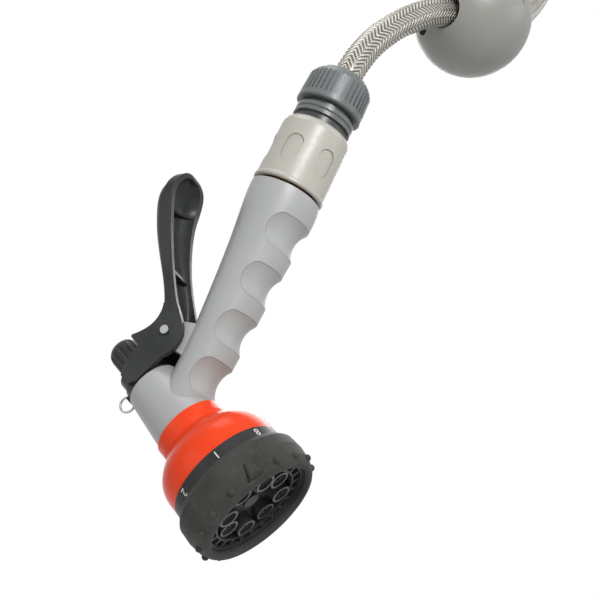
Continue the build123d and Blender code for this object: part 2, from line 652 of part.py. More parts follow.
def dial_grip():
    """Rubber ring round the dial, with nubs on its side and an arrow-shaped pointer."""
    section = [(GRIP_IN_R, GRIP_BACK), (26.6, GRIP_BACK), (GRIP_R - 0.3, GRIP_BACK + 2.2),
               (GRIP_R, GRIP_BACK + 7.5), (GRIP_R - 0.7, GRIP_FRONT - 4.2), (GRIP_R - 2.0, GRIP_FRONT - 1.2),
               (GRIP_R - 3.2, GRIP_FRONT), (RIM_R + 0.9, GRIP_FRONT), (RIM_R, GRIP_FRONT - 1.4),
               (RIM_R, FACE_WALL_TOP + 0.1), (GRIP_IN_R, FACE_WALL_TOP + 0.1)]
    grip = turned(section)
    nub = Pos(0, GRIP_R - 1.15, GRIP_FRONT - 3.3) * Sphere(NUB_R)
    for copy in around(NUBS, nub, start=POINTER_ANGLE)[1:]:
        grip += copy
    top = Plane(origin=(0, GRIP_R - 1.9, GRIP_FRONT - POINTER_FRONT), x_dir=(1, 0, 0), z_dir=(0, 1, 0))
    arrow = make_face(Polyline((-POINTER_HALF, 0), (POINTER_HALF, 0), (1.1, POINTER_L), (-1.1, POINTER_L),
                               close=True))
    pointer = extrude(top * arrow, amount=POINTER_UP + 1.9)
    pointer = chamfer(pointer.edges().group_by(Axis.Y)[-1], 0.7)
    return grip + Rot(0, 0, POINTER_ANGLE) * pointer


# ================================================================= coupling plug and hose ends
def plug_profile(tip):
    """Plug seen from its tip: heights run back from the tip, towards the flange."""
    groove = tip + PLUG_CHAMFER + PLUG_TIP
    shank = groove + PLUG_GROOVE
    head = shank + PLUG_SHANK
    neck = head + PLUG_HEAD
    collar = neck + PLUG_NECK
    flange = collar + PLUG_COLLAR
    end = flange + PLUG_FLANGE
    groove_r = PLUG_NOSE_R - 1.5
    points = [(0, tip), (PLUG_NOSE_R - PLUG_CHAMFER, tip), (PLUG_NOSE_R, tip + PLUG_CHAMFER),
              (PLUG_NOSE_R, groove), (groove_r, groove), (groove_r, shank), (PLUG_NOSE_R, shank),
              (PLUG_NOSE_R, head), (PLUG_HEAD_R, head + 1.0), (PLUG_HEAD_R, neck), (PLUG_NECK_R, neck),
              (PLUG_NECK_R, collar), (PLUG_HEAD_R, collar), (PLUG_HEAD_R, flange), (PLUG_FLANGE_R, flange),
              (PLUG_FLANGE_R, end), (0, end)]
    return points, groove, end


def plug_oring(groove):
    return oring(PLUG_NOSE_R - 1.5 + PLUG_ORING_R + 0.03, PLUG_ORING_R, groove + PLUG_GROOVE / 2)


INLET_TIP = HANDLE_END + 22.6   # tip of the gun's own plug, along the handle axis
INLET = Plane(origin=HANDLE.from_local_coords((0, 0, INLET_TIP)), x_dir=(0, 1, 0), z_dir=-HANDLE.z_dir)


def inlet_plug():
    points, groove, end = plug_profile(0.0)
    plug = turned(points) + rod(INLET_THREAD_R - RUN, end, end + INLET_THREAD_DEPTH - 1.0)
    return plug - rod(PLUG_BORE_R, -1, end + INLET_THREAD_DEPTH + 1)


def supply_plug():
    """Plug on the hose's other end, with the hose tail and its thread behind the flange."""
    tip = -(PLUG_CHAMFER + PLUG_TIP / 2)
    points, groove, end = plug_profile(tip)
    hose_end = -SUPPLY_HOSE_END
    body = turned(points) + hose_socket(end - 0.5, hose_end)
    return body - rod(PLUG_BORE_R, tip - 1, end - 3.0) - rod(BARB_R - 1.4, tip, hose_end + BARB_L + 1)


def hose_socket(low, hose_end):
    """Thread, collet seat and barbed tail that take the hose's end, about local Z."""
    socket = rod(THREAD_R, low, hose_end + THREAD_L)
    socket -= ring(HOSE_R + 0.15, BARB_R, hose_end, hose_end + THREAD_L + 1)
    socket -= ring(COLLET_R + 0.1, BARB_R, hose_end + COLLET_BACK - 0.2, hose_end + THREAD_L + 1)
    tail = rod(BARB_R, hose_end - 0.5, hose_end + BARB_L)
    return socket + tail


def connector_body():
    body = rod(BODY_R, BODY_START, BODY_TOP) + rod(NECK_R, BODY_TOP, HOSE_END - 0.9)
    body += hose_socket(HOSE_END - 0.9, HOSE_END)
    body -= rod(BODY_BORE_R, BODY_START - 1, INLET_TIP - 8.6)
    body -= rod(NOSE_BORE_R, BODY_START, INLET_TIP + 1.2)
    body -= rod(BARB_R - 1.4, INLET_TIP, HOSE_END + BARB_L + 1)
    claw = claw_groove()
    body -= rod(BODY_BORE_R + 1.5, claw[0] - 0.2, claw[1] + 0.2)
    body -= ring(BODY_R + 1, BODY_R - 0.5, STOP_CLIP[0], STOP_CLIP[1])
    return body


def claw_groove():
    """Ends of the plug's neck along the handle axis, where the claw ring lies."""
    high = INLET_TIP - PLUG_CHAMFER - PLUG_TIP - PLUG_GROOVE - PLUG_SHANK - PLUG_HEAD
    return high - PLUG_NECK + 0.35, high - 0.35


def locking_ring():
    low, high = claw_groove()
    claws = ring(BODY_BORE_R + 1.4, CLAW_R, low, high)
    gap = Pos(0, BODY_BORE_R, (low + high) / 2) * Box(2.4, 8, 10)
    return claws - gap


def snap_ring():
    clip = ring(SLEEVE_RECESS[2] - 0.2, BODY_R - 0.45, STOP_CLIP[0] + 0.03, STOP_CLIP[1] - 0.03)
    return clip - Pos(0, BODY_R, (STOP_CLIP[0] + STOP_CLIP[1]) / 2) * Box(3.0, 8, 10)


def sleeve_spring():
    return coil((BODY_R + SLEEVE_RECESS[2]) / 2, 0.5, SLEEVE_RECESS[0] + SEAT, STOP_CLIP[0] - SEAT, 3.5)


def release_sleeve():
    top = SLEEVE_END
    outer = turned([(0, SLEEVE_START), (SLEEVE_LIP_R - 0.5, SLEEVE_START), (SLEEVE_LIP_R, SLEEVE_START + 0.5),
                    (SLEEVE_LIP_R, SLEEVE_START + SLEEVE_LIP - 0.6), (SLEEVE_R, SLEEVE_START + SLEEVE_LIP),
                    (SLEEVE_R - 0.2, top - 3.2), (SLEEVE_R - 0.7, top - 1.3), (SLEEVE_R - 1.9, top - 0.2),
                    (SLEEVE_R - 2.4, top), (0, top)])
    outer -= rod(BODY_R + 0.08, SLEEVE_START - 1, top + 1)
    outer -= rod(SLEEVE_RECESS[2], SLEEVE_RECESS[0], SLEEVE_RECESS[1])
    outer -= rod(BODY_R + 1.4, SLEEVE_START - 1, SLEEVE_START + 5.2)
    face = Plane(origin=(SLEEVE_R - 3, 0, DIMPLE_MIDDLE), x_dir=(0, 0, 1), z_dir=(1, 0, 0))
    dimple = extrude(face * SlotOverall(13.4, 8.2), amount=6) - rod(SLEEVE_R - DIMPLE_DEPTH, 100, 150)
    for copy in around(SLEEVE_DIMPLES, dimple, start=DIMPLE_ANGLE):
        outer -= copy
    return outer


def stop_ring():
    low, high, radius = STOP_RING
    middle = (low + high) / 2
    return turned([(NECK_R + 0.05, low), (radius, low), (radius, middle - 0.5), (radius - 0.5, middle),
                   (radius, middle + 0.5), (radius, high), (NECK_R + 0.05, high)])


def hose_nut():
    """Ribbed cap nut, in hose-end coordinates: z = 0 at the hose's cut end."""
    outer = turned([(0, NUT_BACK), (NUT_R - 0.6, NUT_BACK), (NUT_R, NUT_BACK + 0.6), (NUT_R, NUT_BACK + 2.4),
                    (NUT_R - 0.5, NUT_SHOULDER), (NUT_R - 1.5, NUT_SHOULDER + 2.1),
                    (NUT_R - 3.4, NUT_SHOULDER + 4.2), (NUT_TOP_R, NUT_TOP), (0, NUT_TOP)])
    cut = Pos(NUT_R + 0.2, 0, (NUT_BACK + 2.9 + NUT_TOP) / 2) * Box(2.2, 1.15, NUT_TOP - NUT_BACK - 2.9)
    flutes = [copy for copy in around(NUT_RIBS, cut)]
    outer = outer - flutes
    outer -= rod(THREAD_R + 0.1, NUT_BACK - 1, THREAD_L + 1.0)
    outer -= turned([(0, THREAD_L + 0.9), (COLLET_R + 0.5, THREAD_L + 0.9), (HOSE_R + 1.6, NUT_TOP - 2.6),
                     (0, NUT_TOP - 2.6)])
    return outer - rod(HOSE_R + 0.5, NUT_BACK - 1, NUT_TOP + 1)


def hose_collet():
    """Split ring that the nut squeezes onto the hose."""
    top = COLLET_BACK + COLLET_L - 0.3
    body = turned([(HOSE_R + 0.1, COLLET_BACK), (COLLET_R, COLLET_BACK), (COLLET_R, THREAD_L + 0.7),
                   (HOSE_R + 1.5, top - 0.6), (HOSE_R + 0.1, top - 0.6)])
    slit = Pos(HOSE_R + 2, 0, THREAD_L + 3.0) * Box(8, 1.0, 12)
    return body - [copy for copy in around(6, slit)]


# ================================================================= hose and stopper ball
GUN_END = HANDLE.from_local_coords((0, 0, HOSE_END))
GUN_TURN = HANDLE.from_local_coords((0, 0, HOSE_END + GUN_RUN))
ROUTE = ([GUN_END, GUN_TURN] + [Vector(*point) for point in HOSE_ROUTE]
         + [Vector(0, 0, SUPPLY_HOSE_END - SUPPLY_RUN), Vector(0, 0, SUPPLY_HOSE_END)])
GUN_SOCKET = Plane(origin=GUN_END, x_dir=(0, 1, 0), z_dir=HANDLE.z_dir)
SUPPLY_SOCKET = Plane(origin=(0, 0, SUPPLY_HOSE_END), x_dir=(1, 0, 0), z_dir=(0, 0, -1))


def route_radii():
    radii = []
    for before, corner, after in zip(ROUTE, ROUTE[1:], ROUTE[2:]):
        into = corner - before
        out = after - corner
        half_turn = math.radians(into.get_angle(out)) / 2
        radii.append(0.45 * min(into.length, out.length) / math.tan(half_turn))
    return radii


def hose():
    path = FilletPolyline(*ROUTE, radius=route_radii())
    start = Plane(origin=ROUTE[0], z_dir=ROUTE[1] - ROUTE[0])
    section = Circle(HOSE_R) - Circle(HOSE_BORE_R)
    tube = sweep(start * section, path=path)
    print("hose bends, mm:", [round(radius, 1) for radius in route_radii()])
    print("hose length, mm:", round(path.length, 1))
    print("hose volume against section times length:", round(tube.volume / (section.area * path.length), 4))
    return tube


BALL_START = Vector(*HOSE_ROUTE[BALL_LEG])
BALL_AXIS = (Vector(*HOSE_ROUTE[BALL_LEG + 1]) - BALL_START).normalized()
BALL = Plane(origin=BALL_START + BALL_AXIS * BALL_ALONG, x_dir=BALL_SCREW_SIDE, z_dir=BALL_AXIS)


def ball_bore():
    half = BALL_R + 1
    return turned([(0, -half), (BALL_MOUTH_R, -half), (BALL_BORE_R, -LINER_HALF - 2), (BALL_BORE_R, LINER_HALF + 2),
                   (BALL_MOUTH_R, half), (0, half)])


def ball_screw_holes():
    holes = []
    for side in (0, 180):
        at = Rot(0, 0, side) * Pos(BALL_SCREW_RADIUS, 0, 0)
        holes.append(at * rod(BALL_SCREW_R + 0.1, -BALL_SCREW_SINK - 1, BALL_SCREW_SINK + 1))
        holes.append(at * rod(BALL_SCREW_HEAD_R + 0.2, -BALL_R, -BALL_SCREW_SINK))
        nut = extrude(RegularPolygon(BALL_NUT_R + 0.1, 6), amount=BALL_R)
        holes.append(at * Pos(0, 0, BALL_SCREW_SINK - 1.0) * nut)
    return holes


def ball_half(front):
    shell = Sphere(BALL_R) - ball_bore() - rod(LINER_R, -LINER_HALF - 0.1, LINER_HALF + 0.1)
    keep = Pos(0, 0, -100) if front else Pos(0, 0, 100)
    gap = SEAT / 2
    half = shell & keep * Box(200, 200, 200 - 2 * gap)
    half -= ball_screw_holes()
    if front:
        recess = Rot(0, 0, RECESS_TURN) * Rot(0, -RECESS_TILT, 0) * Pos(BALL_R + 3.2, 0, 0) * Box(10, 11, 17)
        half -= recess
    return half


def ball_liner():
    return ring(LINER_R - 0.05, HOSE_R + 0.1, -LINER_HALF, LINER_HALF)


def ball_screws():
    head = BALL_SCREW_HEAD_R
    screw = rod(BALL_SCREW_R, -BALL_SCREW_SINK, BALL_SCREW_SINK + 2)
    screw += rod(head, -BALL_SCREW_SINK - 2.4, -BALL_SCREW_SINK)
    screw -= Pos(0, 0, -BALL_SCREW_SINK - 2.4) * (Box(4.4, 0.9, 2.2) + Box(0.9, 4.4, 2.2))
    return group(around(2, Pos(BALL_SCREW_RADIUS, 0, 0) * screw))


def ball_nuts():
    nut = extrude(RegularPolygon(BALL_NUT_R, 6), amount=BALL_NUT_T) - rod(BALL_SCREW_R + 0.03, -1, 5)
    return group(around(2, Pos(BALL_SCREW_RADIUS, 0, BALL_SCREW_SINK - 0.98) * nut))


# ================================================================= write every piece
def main():
    os.makedirs("parts", exist_ok=True)
    world = {
        "gun_body": gun_body(),
        "lever": lever(),
        "hose": hose(),
    }
    on_barrel = {
        "gland_nut": gland_nut(),
        "stem_oring": stem_oring(),
        "packing_washer": packing_washer(),
        "return_spring": return_spring(),
        "valve_stem": valve_stem(),
        "valve_plug": valve_plug(),
        "plug_clip": plug_clip(),
        "valve_seat": valve_seat(),
        "draw_collar": draw_collar(),
        "trunnion_pin": trunnion_pin(),
        "flow_knob": flow_knob(),
        "hanging_ring": hanging_ring(),
        "pivot_pin": pivot_pin(),
        "pin_retainer": pin_retainer(),
        "bell_cover": bell_cover(),
        "label_band": label_band(),
        "port_plate": port_plate(),
        "plate_screws": plate_screws(),
        "port_seal": port_seal(),
        "detent_ball": detent_ball(),
        "detent_spring": detent_spring(),
        "dial_back": dial_back(),
        "nozzle_face": nozzle_face(),
        "screw_washer": screw_washer(),
        "centre_screw": centre_screw(),
        "face_plug": face_plug(),
        "dial_grip": dial_grip(),
    }
    for index, (name, holes) in enumerate(INSERT_HOLES.items()):
        on_barrel[name] = spray_insert(index, holes)
    on_inlet = {
        "inlet_plug": inlet_plug(),
        "inlet_oring": plug_oring(PLUG_CHAMFER + PLUG_TIP),
    }
    on_handle = {
        "connector_body": connector_body(),
        "locking_ring": locking_ring(),
        "snap_ring": snap_ring(),
        "sleeve_spring": sleeve_spring(),
        "release_sleeve": release_sleeve(),
        "stop_ring": stop_ring(),
    }
    on_gun_socket = {"hose_nut": hose_nut(), "hose_collet": hose_collet()}
    on_supply = {"supply_plug": supply_plug(), "supply_oring": plug_oring(PLUG_TIP / 2)}
    on_supply_socket = {"supply_nut": hose_nut(), "supply_collet": hose_collet()}
    on_ball = {
        "ball_front": ball_half(True),
        "ball_back": ball_half(False),
        "ball_liner": ball_liner(),
        "ball_screws": ball_screws(),
        "ball_nuts": ball_nuts(),
    }
    frames = [(BARREL, on_barrel), (INLET, on_inlet), (HANDLE, on_handle), (GUN_SOCKET, on_gun_socket),
              (SUPPLY, on_supply), (SUPPLY_SOCKET, on_supply_socket), (BALL, on_ball)]
    for name, shape in world.items():
        write(name, shape)
    for frame, pieces in frames:
        for name, shape in pieces.items():
            write(name, put(frame, shape))


main()
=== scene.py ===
"""Finishes, braided hose, dial numerals and stage for the lever spray gun."""

import math

import bmesh
import bpy
from bpy.props import (FloatProperty, FloatVectorProperty, IntProperty, PointerProperty,
                       StringProperty)
from mathutils import Matrix, Vector


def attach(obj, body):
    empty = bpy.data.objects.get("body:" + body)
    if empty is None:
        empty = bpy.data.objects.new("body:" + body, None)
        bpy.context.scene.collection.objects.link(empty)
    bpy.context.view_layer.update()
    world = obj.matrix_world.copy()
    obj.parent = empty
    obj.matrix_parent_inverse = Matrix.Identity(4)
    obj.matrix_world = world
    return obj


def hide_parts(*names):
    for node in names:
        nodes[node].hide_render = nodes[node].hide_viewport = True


bl_info = {
    "name": "Lever spray gun",
    "version": (1, 0, 0),
    "blender": (4, 5, 0),
    "location": "3D View > Sidebar > Spray gun",
    "description": "Finishes, hose, numerals and stage for a rear-lever spray gun",
    "category": "Object",
}

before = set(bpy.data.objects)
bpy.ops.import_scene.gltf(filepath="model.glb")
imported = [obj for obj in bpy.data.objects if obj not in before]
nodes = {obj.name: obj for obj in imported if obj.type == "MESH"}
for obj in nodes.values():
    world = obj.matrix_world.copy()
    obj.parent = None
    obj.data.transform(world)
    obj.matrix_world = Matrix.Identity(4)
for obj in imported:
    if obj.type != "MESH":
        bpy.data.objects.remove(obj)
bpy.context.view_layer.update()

# The gun's own directions: barrel and handle axes meet at GUN.
GUN = Vector((-0.132, -0.120, -0.361))
SIDE = Vector((0.0, 1.0, 0.0))
BARREL = Vector((math.cos(math.radians(42.0)), 0.0, -math.sin(math.radians(42.0))))
BARREL_UP = BARREL.cross(SIDE)
HANDLE = Vector((math.sin(math.radians(19.5)), 0.0, math.cos(math.radians(19.5))))

# Finger grooves: middle along the handle and radius of the arc that each one is cut along.
GROOVES = ((0.0175, 0.02259), (0.0395, 0.02328), (0.0625, 0.02415), (0.0855, 0.02533))
GROOVE_CURVE = 0.012
GROOVE_SWEEP = math.radians(46.0)
# Where the step round a groove starts and ends outside the arc's own curve, and how deep it is.
GROOVE_EDGE = (0.00003, 0.00030)
GROOVE_STEP = 0.0005

# Moulded plastic: its index of refraction, the size of the melt's flow marks and of the haze from
# handling, the noise values between which dust shows, and the roughness under a clear coat.
PLASTIC_IOR = 1.5
FLOW_MARK = 0.014
HAZE_SPOT = 0.004
DUST_SHOWS = (0.58, 0.80)
COAT_ROUGH = 0.18

# Bare metal: width and depth of the tool marks, and size of a patch of tarnish.
TOOL_MARK = 0.00018
TOOL_DEPTH = 0.000012
TARNISH_SPOT = 0.003

# The braid: slope of its strokes, wires in a stroke, where a stroke's side rises, its relief, and the
# size of a patch of duller wire.
BRAID_SLOPE = 0.95
BRAID_WIRES = 4
BRAID_SIDE = (0.14, 0.32)
BRAID_RELIEF = 0.00035
WIRE_PATCH = 0.0035

# Length of one ring of the hose's faces, and steps of its curve between two places.
HOSE_STEP = 0.0015
LINE_STEPS = 24

# Numerals: font size for each unit of their height, thickness of the ink, and its gap over the band.
FONT_SIZE = 1.4
INK = 0.00003
INK_GAP = 0.00004

# The floor: half its width, and the share of its own light that it shows when seen directly.
FLOOR_REACH = 3.0
FLOOR_GLOW = 0.88

# The camera: lens and sensor in millimetres, nearest distance seen, its own right and backward ways.
CAMERA_LENS = 60.0
CAMERA_SENSOR = 36.0
CAMERA_NEAR = 0.01
CAMERA_RIGHT = (0.949, 0.294, 0.116)
CAMERA_BACK = (0.316, -0.878, -0.361)

# Lamps aimed at the gun's middle: name, metres right of, above and in front of it, width, and power
# as a share of the stage's lamp setting.
GUN_MIDDLE = Vector((-0.09, -0.11, -0.28))
LAMPS = (
    ("key", 0.28, 0.50, 0.62, 0.20, 1.12),
    ("fill", -0.65, 0.15, 0.55, 0.5, 0.16),
    ("rim", 0.75, 0.25, 0.05, 0.4, 0.20),
    ("top", -0.10, 0.80, -0.10, 0.4, 0.45),
    ("back", 0.10, 0.30, -0.80, 0.6, 0.75),
)

# The hose's route: its cut end in the gun's coupling, its bends, its cut end in the supply plug.
HOSE_ROUTE = (
    (-0.08193, -0.1200, -0.21960),
    (-0.07308, -0.1200, -0.19462),
    (-0.0610, -0.1129, -0.1721),
    (-0.0423, -0.0927, -0.1457),
    (-0.0170, -0.0338, -0.1176),
    (-0.0048, -0.0090, -0.0826),
    (0.0, 0.0, -0.0540),
    (0.0, 0.0, -0.0240),
)


# ---------------------------------------------------------------- settings
class GunFinish(bpy.types.PropertyGroup):
    handle: StringProperty(name="Handle", description="Grey ABS of the handle and barrel",
                           default="#A1A3A2")
    lever: StringProperty(name="Lever", description="Charcoal acetal of the lever",
                          default="#1F2222")
    bell: StringProperty(name="Bell", description="Orange gloss ABS behind the dial",
                         default="#E83C00")
    dial: StringProperty(name="Dial", description="Charcoal rubber of the dial's ring",
                         default="#23241E")
    sleeve: StringProperty(name="Sleeve", description="Warm grey of the release sleeve",
                           default="#AFACA3")
    nut: StringProperty(name="Nut", description="Blue-grey of the ribbed cap nut", default="#585E5F")
    ball: StringProperty(name="Ball", description="Warm grey of the stopper ball", default="#868781")
    grain: FloatProperty(name="Grain", description="Size of the moulded grain",
                         default=0.00035, unit="LENGTH")


class HoseSize(bpy.types.PropertyGroup):
    radius: FloatProperty(name="Radius", description="Outside radius of the hose",
                          default=0.007, unit="LENGTH")
    pitch: FloatProperty(name="Pitch", description="Distance from chevron to chevron",
                         default=0.0022, unit="LENGTH")
    columns: IntProperty(name="Columns", description="Columns of the braid round the hose",
                         default=12, min=4)
    around: IntProperty(name="Around", description="Faces round the hose", default=48, min=12)


class NumeralSize(bpy.types.PropertyGroup):
    height: FloatProperty(name="Height", description="Height of a numeral", default=0.0034,
                          unit="LENGTH")
    band: FloatProperty(name="Band radius", description="Radius of the printed band",
                        default=0.0252, unit="LENGTH")
    middle: FloatProperty(name="Middle", description="Band's middle along the barrel",
                          default=0.0385, unit="LENGTH")
    first: FloatProperty(name="First", description="Angle of the first numeral", default=-80.0)
    count: IntProperty(name="Count", description="Spray patterns on the dial", default=8, min=1)


class StageLook(bpy.types.PropertyGroup):
    floor: FloatProperty(name="Floor", description="Height of the floor", default=-0.62,
                         unit="LENGTH")
    lamp: FloatProperty(name="Lamp", description="Watts that the lamps' shares are taken of",
                        default=4.9)
    place: FloatVectorProperty(name="Camera", description="Where the camera stands",
                               default=(0.0476, -0.4857, -0.4613), subtype="XYZ")


SETTINGS = {"gun_finish": GunFinish, "hose_size": HoseSize, "numeral_size": NumeralSize,
            "stage_look": StageLook}


# ---------------------------------------------------------------- material helpers
def linear(code, alpha=1.0):
    """An sRGB hex colour as linear red, green, blue and alpha."""
    parts = [int(code[i:i + 2], 16) / 255.0 for i in (1, 3, 5)]
    return [p / 12.92 if p <= 0.04045 else ((p + 0.055) / 1.055) ** 2.4 for p in parts] + [alpha]


def add(tree, kind, inputs=None, **settings):
    """Add a node; inputs maps sockets to a value or to the socket that feeds them."""
    node = tree.nodes.new(kind)
    for key, value in settings.items():
        setattr(node, key, value)
    for key, value in (inputs or {}).items():
        if isinstance(value, bpy.types.NodeSocket):
            tree.links.new(value, node.inputs[key])
        else:
            node.inputs[key].default_value = value
    return node


def material(name):
    """An empty material: its node tree and its Principled shader."""
    made = bpy.data.materials.new(name)
    made.use_nodes = True
    tree = made.node_tree
    tree.nodes.clear()
    shader = add(tree, "ShaderNodeBsdfPrincipled")
    add(tree, "ShaderNodeOutputMaterial", {"Surface": shader.outputs["BSDF"]})
    return made, tree, shader


def paint(made, *names):
    """Give CAD nodes a material."""
    for name in names:
        node = nodes[name]
        node.data.materials.clear()
        node.data.materials.append(made)


def moulded(name, code, rough, grain, depth, mottle=0.05, coat=0.0, wear=0.0, shine=0.5,
            relief=None):
    """Injection-moulded plastic: a spark-eroded grain, faint flow marks and handling haze."""
    made, tree, shader = material(name)
    where = add(tree, "ShaderNodeTexCoord").outputs["Object"]
    fine = add(tree, "ShaderNodeTexNoise", {"Vector": where, "Scale": 1.0 / grain, "Detail": 3.0,
                                            "Roughness": 0.6})
    flow = add(tree, "ShaderNodeTexNoise", {"Vector": where, "Scale": 1.0 / FLOW_MARK, "Detail": 4.0,
                                            "Roughness": 0.55})
    haze = add(tree, "ShaderNodeTexNoise", {"Vector": where, "Scale": 1.0 / HAZE_SPOT, "Detail": 5.0,
                                            "Roughness": 0.7})
    dark, pale = (add(tree, "ShaderNodeMix", {0: mottle, 6: linear(code), 7: (end, end, end, 1.0)},
                      data_type="RGBA") for end in (0.0, 1.0))
    tone = add(tree, "ShaderNodeMix", {0: flow.outputs["Fac"], 6: dark.outputs[2],
                                       7: pale.outputs[2]}, data_type="RGBA")
    faint, full = DUST_SHOWS
    dust = add(tree, "ShaderNodeMapRange", {"Value": haze.outputs["Fac"], "From Min": faint,
                                            "From Max": full, "To Min": 0.0, "To Max": wear})
    worn = add(tree, "ShaderNodeMix", {0: dust.outputs["Result"], 6: tone.outputs[2],
                                       7: linear("#B8B6AE")}, data_type="RGBA")
    gloss = add(tree, "ShaderNodeMapRange", {"Value": haze.outputs["Fac"], "From Min": 0.3,
                                             "From Max": 0.7, "To Min": rough - 0.05,
                                             "To Max": rough + 0.06})
    bump = add(tree, "ShaderNodeBump", {"Strength": 0.6, "Distance": depth,
                                        "Height": fine.outputs["Fac"]})
    if relief:
        tree.links.new(relief(tree, where), bump.inputs["Normal"])
    tree.links.new(worn.outputs[2], shader.inputs["Base Color"])
    tree.links.new(gloss.outputs["Result"], shader.inputs["Roughness"])
    tree.links.new(bump.outputs["Normal"], shader.inputs["Normal"])
    shader.inputs["IOR"].default_value = PLASTIC_IOR
    shader.inputs["Specular IOR Level"].default_value = shine
    shader.inputs["Coat Weight"].default_value = coat
    shader.inputs["Coat Roughness"].default_value = COAT_ROUGH
    return made


def grip_edges(tree, where):
    """A crisp step round each finger groove, from the distance to the arc that it is cut along."""
    place = add(tree, "ShaderNodeVectorMath", {0: where, 1: GUN}, operation="SUBTRACT").outputs[0]
    ahead, side, high = (
        add(tree, "ShaderNodeVectorMath", {0: place, 1: way}, operation="DOT_PRODUCT").outputs["Value"]
        for way in (SIDE.cross(HANDLE), SIDE, HANDLE))
    side = add(tree, "ShaderNodeMath", {0: side}, operation="ABSOLUTE").outputs[0]
    spot = add(tree, "ShaderNodeCombineXYZ", {0: ahead, 1: side, 2: high}).outputs[0]
    aim = add(tree, "ShaderNodeCombineXYZ", {0: ahead, 1: side}).outputs[0]
    aim = add(tree, "ShaderNodeVectorMath", {0: aim}, operation="NORMALIZE").outputs[0]
    # past the end of the arc, the nearest point on it stays at its end
    aim = add(tree, "ShaderNodeVectorMath", {0: aim, 1: (math.cos(GROOVE_SWEEP), 0.0, 0.0)},
              operation="MAXIMUM").outputs[0]
    aim = add(tree, "ShaderNodeVectorMath", {0: aim, 1: (1.0, math.sin(GROOVE_SWEEP), 0.0)},
              operation="MINIMUM").outputs[0]
    nearest = None
    for station, radius in GROOVES:
        on_arc = add(tree, "ShaderNodeVectorMath", {0: aim, 1: (radius, radius, 0.0),
                                                    2: (0.0, 0.0, station)},
                     operation="MULTIPLY_ADD").outputs[0]
        gap = add(tree, "ShaderNodeVectorMath", {0: spot, 1: on_arc},
                  operation="DISTANCE").outputs["Value"]
        if nearest:
            gap = add(tree, "ShaderNodeMath", {0: nearest, 1: gap}, operation="MINIMUM").outputs[0]
        nearest = gap
    start, stop = GROOVE_EDGE
    step = add(tree, "ShaderNodeMapRange", {"Value": nearest, "From Min": GROOVE_CURVE + start,
                                            "From Max": GROOVE_CURVE + stop},
               interpolation_type="SMOOTHSTEP")
    bump = add(tree, "ShaderNodeBump", {"Strength": 1.0, "Distance": GROOVE_STEP,
                                        "Height": step.outputs["Result"]})
    return bump.outputs["Normal"]


def machined(name, code, rough):
    """Bare metal with fine tool marks and a little tarnish in patches."""
    made, tree, shader = material(name)
    where = add(tree, "ShaderNodeTexCoord").outputs["Object"]
    marks = add(tree, "ShaderNodeTexNoise", {"Vector": where, "Scale": 1.0 / TOOL_MARK,
                                             "Detail": 2.0})
    patch = add(tree, "ShaderNodeTexNoise", {"Vector": where, "Scale": 1.0 / TARNISH_SPOT,
                                             "Detail": 4.0})
    tarnish = add(tree, "ShaderNodeMix", {0: 0.35, 6: linear(code), 7: linear("#4A4640")},
                  data_type="RGBA")
    share = add(tree, "ShaderNodeMapRange", {"Value": patch.outputs["Fac"], "From Min": 0.5,
                                             "From Max": 0.75, "To Min": 0.0, "To Max": 0.7})
    tone = add(tree, "ShaderNodeMix", {0: share.outputs["Result"], 6: linear(code),
                                       7: tarnish.outputs[2]}, data_type="RGBA")
    gloss = add(tree, "ShaderNodeMapRange", {"Value": patch.outputs["Fac"], "To Min": rough - 0.06,
                                             "To Max": rough + 0.12})
    bump = add(tree, "ShaderNodeBump", {"Strength": 0.5, "Distance": TOOL_DEPTH,
                                        "Height": marks.outputs["Fac"]})
    tree.links.new(tone.outputs[2], shader.inputs["Base Color"])
    tree.links.new(gloss.outputs["Result"], shader.inputs["Roughness"])
    tree.links.new(bump.outputs["Normal"], shader.inputs["Normal"])
    shader.inputs["Metallic"].default_value = 1.0
    return made


